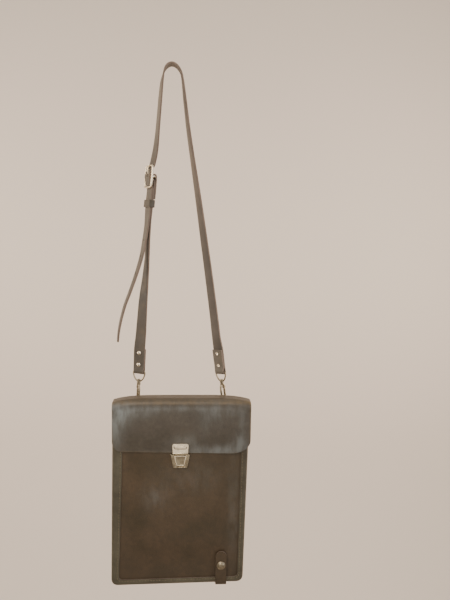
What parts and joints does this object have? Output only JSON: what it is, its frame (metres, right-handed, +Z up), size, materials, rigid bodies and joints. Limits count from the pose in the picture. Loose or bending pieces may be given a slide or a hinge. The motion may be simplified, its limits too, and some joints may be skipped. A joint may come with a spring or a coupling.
{
  "type": "map case",
  "caption": "Flat leather map case with a flap, tuck lock, closing tab and press stud, hanging by a buckled shoulder strap on swivel snap hooks.",
  "frame": {"origin": "hang point: underside of the strap at the top of its arch, where a peg carries it", "axes": "+X to the right seen from the front, +Y towards the back wall of the case, +Z up"},
  "size_m": [0.2107, 0.0543, 0.7928],
  "materials": {
    "leather_body": "worn waxed grain",
    "leather_border": "worn waxed grain",
    "leather_flap": "worn waxed grain, dull sheen",
    "leather_strap": "dry, scuffed",
    "nickel": "worn nickel plate"
  },
  "bodies": {
    "case": {"back_panel": "leather_body", "front_panel": "leather_body", "closing_tab": "leather_body", "ring_tab_left": "leather_body", "ring_tab_right": "leather_body", "gusset": "leather_border", "flap": "leather_flap", "long_strap": "leather_strap", "short_strap": "leather_strap", "keeper": "leather_strap", "press_stud": "nickel", "lock_plate": "nickel", "lock_base": "nickel", "case_ring_left": "nickel", "case_ring_right": "nickel", "ring_rivet_left": "nickel", "ring_rivet_right": "nickel", "strap_loop_left": "nickel", "strap_loop_right": "nickel", "snap_hook_left": "nickel", "snap_hook_right": "nickel", "strap_rivet_left_low": "nickel", "strap_rivet_left_high": "nickel", "strap_rivet_right_low": "nickel", "strap_rivet_right_high": "nickel", "buckle_frame": "nickel", "buckle_prong": "nickel"},
    "lock_slide": {"lock_slide": "nickel"},
    "hook_gate_left": {"hook_gate_left": "nickel"},
    "hook_gate_right": {"hook_gate_right": "nickel"}
  },
  "joints": [
    {"name": "lock_slide", "type": "slide", "parent": "case", "child": "lock_slide", "axis": [0, 0, -1], "range_m": [0, 0.0025], "stiffness_N_per_m": 300, "springref_m": -0.002},
    {"name": "hook_gate_left", "type": "hinge", "parent": "case", "child": "hook_gate_left", "pos_m": [-0.04943, 0.00561, -0.48737], "axis": [-0.9557, -0.2924, 0.0334], "range_deg": [0, 22], "stiffness_Nm_per_rad": 0.02, "springref_deg": -11.46},
    {"name": "hook_gate_right", "type": "hinge", "parent": "case", "child": "hook_gate_right", "pos_m": [0.08492, 0.00489, -0.48726], "axis": [-0.7807, 0.6157, -0.1069], "range_deg": [0, 22], "stiffness_Nm_per_rad": 0.02, "springref_deg": -11.46}
  ]
}
